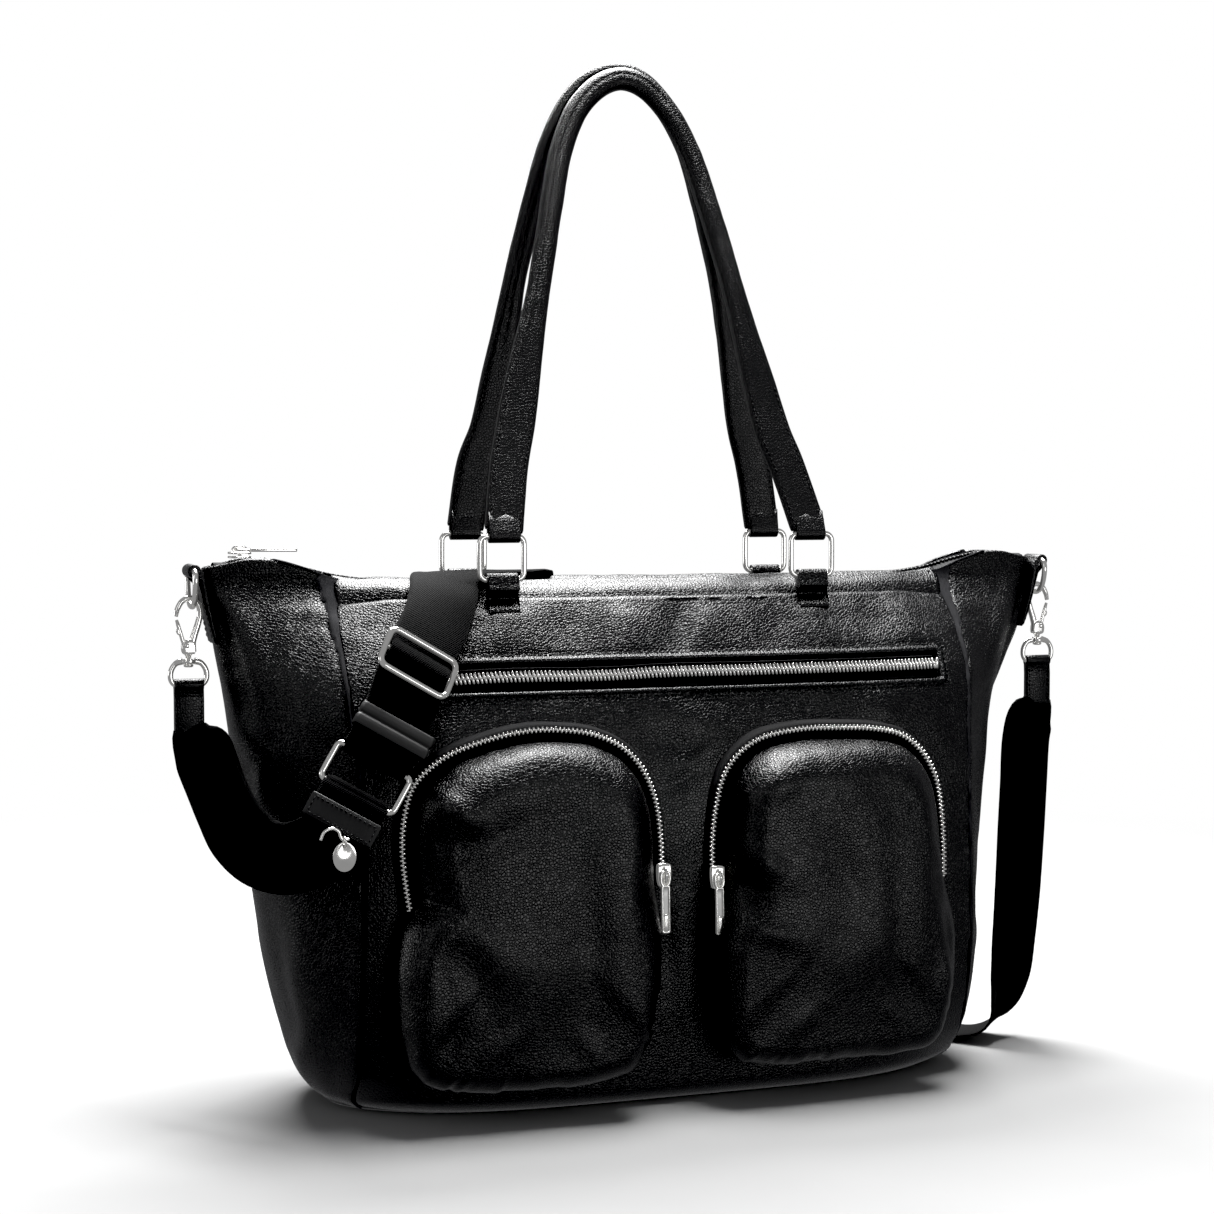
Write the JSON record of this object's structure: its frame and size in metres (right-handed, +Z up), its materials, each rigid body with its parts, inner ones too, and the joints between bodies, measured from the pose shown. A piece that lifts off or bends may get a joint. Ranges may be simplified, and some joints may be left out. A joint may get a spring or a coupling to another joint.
{
  "type": "diaper bag",
  "caption": "Winged zip-top tote with two puffy arched zip pockets, a flat zip pocket above them, two ring-hung handles and a clip-on adjustable webbing shoulder strap.",
  "frame": {"origin": "on the floor plane under the middle of the bag's flat base", "axes": "+Z up, front with the pockets facing -Y, +X to the right seen from the front; the front and back handles fold about X, the sliders of the flat zip run along X"},
  "size_m": [0.5468, 0.2369, 0.5921],
  "materials": {
    "leather": "black pebble-grained leather, soft satin",
    "webbing": "black twill-woven polyester webbing, matt",
    "tape": "black woven zip tape with a dark coil",
    "lining": "dark plain-woven lining",
    "steel": "polished nickel plate",
    "teeth": "polished metal zip teeth on black tape"
  },
  "bodies": {
    "bag": {"front_panel": "leather", "back_panel": "leather", "gusset_left": "leather", "gusset_right": "leather", "base_panel": "leather", "lining": "lining", "top_band_front": "leather", "top_band_back": "leather", "top_zip": "tape", "front_zip": "teeth", "pocket_left": "leather", "pocket_right": "leather", "pocket_zip_left": "teeth", "pocket_zip_right": "teeth", "ring_tab_front_left": "leather", "ring_tab_front_right": "leather", "ring_tab_back_left": "leather", "ring_tab_back_right": "leather", "side_tab_left": "leather", "side_tab_right": "leather", "swivel_loop_left": "steel", "swivel_loop_right": "steel", "chape_left": "leather", "chape_right": "leather", "strap_short": "webbing", "strap_long": "webbing", "strap_end": "leather", "strap_keeper": "leather", "slide_buckle": "steel", "strap_loop_ring": "steel", "charm_hook": "steel"},
    "top_slider": {"top_slider": "steel"},
    "top_pull": {"top_pull": "steel"},
    "front_slider": {"front_slider": "steel"},
    "front_pull": {"front_pull": "steel"},
    "pocket_slider_left": {"pocket_slider_left": "steel"},
    "pocket_pull_left": {"pocket_pull_left": "steel"},
    "pocket_slider_right": {"pocket_slider_right": "steel"},
    "pocket_pull_right": {"pocket_pull_right": "steel"},
    "front_rings": {"ring_front_left": "steel", "ring_front_right": "steel"},
    "front_handle": {"handle_front": "leather"},
    "back_rings": {"ring_back_left": "steel", "ring_back_right": "steel"},
    "back_handle": {"handle_back": "leather"},
    "hook_left": {"hook_left": "steel"},
    "hook_gate_left": {"hook_gate_left": "steel"},
    "hook_right": {"hook_right": "steel"},
    "hook_gate_right": {"hook_gate_right": "steel"},
    "d_ring_left": {"d_ring_left": "steel"},
    "d_ring_right": {"d_ring_right": "steel"},
    "charm": {"charm_link": "steel", "charm_disc": "steel"}
  },
  "joints": [
    {"name": "top_zip_run", "type": "hinge", "parent": "bag", "child": "top_slider", "pos_m": [-0.23602, 0, 0.14883], "axis": [0, 1, 0], "range_deg": [0, 13]},
    {"name": "top_pull_lift", "type": "hinge", "parent": "top_slider", "child": "top_pull", "pos_m": [-0.23545, 0, 0.30817], "axis": [0, -1, 0], "range_deg": [0, 150]},
    {"name": "front_zip_run", "type": "slide", "parent": "bag", "child": "front_slider", "axis": [1, 0, 0], "range_m": [0, 0.3]},
    {"name": "front_pull_swing", "type": "hinge", "parent": "front_slider", "child": "front_pull", "pos_m": [-0.1496, -0.0678, 0.239], "axis": [-1, 0, 0], "range_deg": [0, 15]},
    {"name": "pocket_zip_run_left", "type": "hinge", "parent": "bag", "child": "pocket_slider_left", "pos_m": [-0.09, -0.07646, 0.1375], "axis": [-0.0361, -0.9986, 0.0385], "range_deg": [0, 190]},
    {"name": "pocket_pull_swing_left", "type": "hinge", "parent": "pocket_slider_left", "child": "pocket_pull_left", "pos_m": [-0.01783, -0.08701, 0.13135], "axis": [-0.9993, 0.0361, -0.0014], "range_deg": [0, 120]},
    {"name": "pocket_zip_run_right", "type": "hinge", "parent": "bag", "child": "pocket_slider_right", "pos_m": [0.0865, -0.07654, 0.1345], "axis": [-0.0327, 0.9988, -0.0356], "range_deg": [0, 190]},
    {"name": "pocket_pull_swing_right", "type": "hinge", "parent": "pocket_slider_right", "child": "pocket_pull_right", "pos_m": [0.01429, -0.08683, 0.12831], "axis": [-0.9995, -0.0326, 0.0012], "range_deg": [0, 120]},
    {"name": "front_ring_fold", "type": "hinge", "parent": "bag", "child": "front_rings", "pos_m": [0, -0.0375, 0.2913], "axis": [1, 0, 0], "range_deg": [0, 75]},
    {"name": "front_handle_fold", "type": "hinge", "parent": "front_rings", "child": "front_handle", "pos_m": [0, -0.0375, 0.3153], "axis": [1, 0, 0], "range_deg": [0, 85]},
    {"name": "back_ring_fold", "type": "hinge", "parent": "bag", "child": "back_rings", "pos_m": [0, 0.0375, 0.2913], "axis": [-1, 0, 0], "range_deg": [0, 75]},
    {"name": "back_handle_fold", "type": "hinge", "parent": "back_rings", "child": "back_handle", "pos_m": [0, 0.0375, 0.3153], "axis": [-1, 0, 0], "range_deg": [0, 85]},
    {"name": "swivel_left", "type": "hinge", "parent": "bag", "child": "hook_left", "pos_m": [-0.2626, 0, 0.2476], "axis": [0, 0, 1], "range_deg": [-12, 12]},
    {"name": "gate_left", "type": "hinge", "parent": "hook_left", "child": "hook_gate_left", "pos_m": [-0.265, 0, 0.2572], "axis": [0, 1, 0], "range_deg": [0, 18], "stiffness_Nm_per_rad": 0.02, "springref_deg": -20.05},
    {"name": "d_ring_swing_left", "type": "hinge", "parent": "bag", "child": "d_ring_left", "pos_m": [-0.2605, 0, 0.297], "axis": [0, 1, 0], "range_deg": [0, 8]},
    {"name": "swivel_right", "type": "hinge", "parent": "bag", "child": "hook_right", "pos_m": [0.2626, 0, 0.2476], "axis": [0, 0, 1], "range_deg": [-12, 12]},
    {"name": "gate_right", "type": "hinge", "parent": "hook_right", "child": "hook_gate_right", "pos_m": [0.265, 0, 0.2572], "axis": [0, -1, 0], "range_deg": [0, 18], "stiffness_Nm_per_rad": 0.02, "springref_deg": -20.05},
    {"name": "d_ring_swing_right", "type": "hinge", "parent": "bag", "child": "d_ring_right", "pos_m": [0.2605, 0, 0.297], "axis": [0, -1, 0], "range_deg": [0, 8]},
    {"name": "charm_swing", "type": "hinge", "parent": "bag", "child": "charm", "pos_m": [-0.2014, -0.1025, 0.1615], "axis": [0, 1, 0], "range_deg": [-20, 20]}
  ]
}
